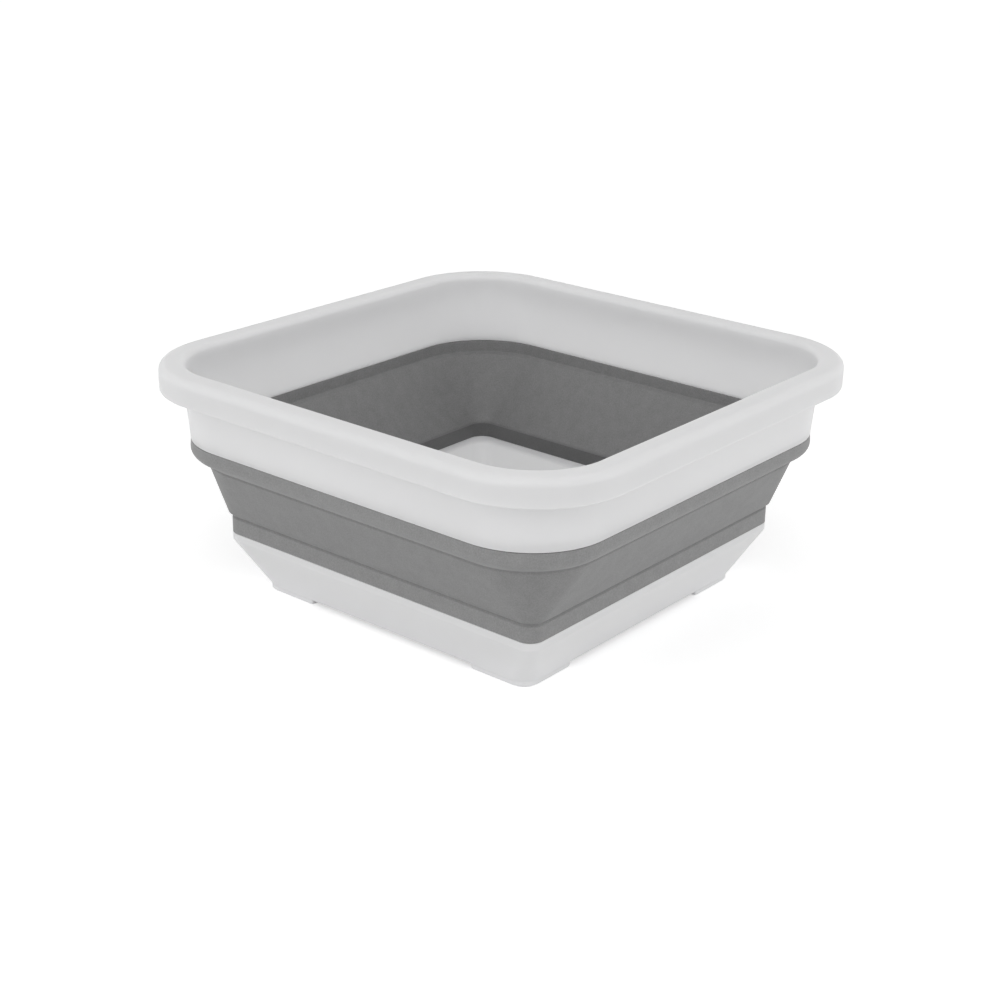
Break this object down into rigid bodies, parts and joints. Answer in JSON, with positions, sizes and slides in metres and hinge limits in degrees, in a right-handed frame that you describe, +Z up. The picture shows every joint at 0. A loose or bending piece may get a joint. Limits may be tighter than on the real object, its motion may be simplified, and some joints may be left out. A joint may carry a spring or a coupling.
{
  "type": "folding washing-up bowl",
  "caption": "Square folding washing-up bowl: a rigid lipped rim and a rigid footed base joined by a soft wall that folds flat for storage.",
  "frame": {"origin": "centre of the bowl on the surface its feet stand on", "axes": "+Z up through the middle of the bowl, +X and +Y square to its sides"},
  "size_m": [0.32, 0.32, 0.145],
  "materials": {
    "white_polypropylene": "satin moulded polypropylene",
    "grey_soft_wall": "matte fine-grained thermoplastic rubber"
  },
  "bodies": {
    "base": {"base_tray": "white_polypropylene", "lower_fold_band": "grey_soft_wall"},
    "rim": {"rim_frame": "white_polypropylene", "upper_fold_band": "grey_soft_wall"},
    "fold": {"fold_panel": "grey_soft_wall"}
  },
  "joints": [
    {"name": "collapse", "type": "slide", "parent": "base", "child": "rim", "axis": [0, 0, -1], "range_m": [0, 0.0738]},
    {"name": "wall_fold", "type": "slide", "parent": "base", "child": "fold", "axis": [0, 0, -1], "range_m": [0, 0.0369]}
  ],
  "couplings": [
    {"joint": "wall_fold", "follows": "collapse", "ratio": 0.5}
  ]
}
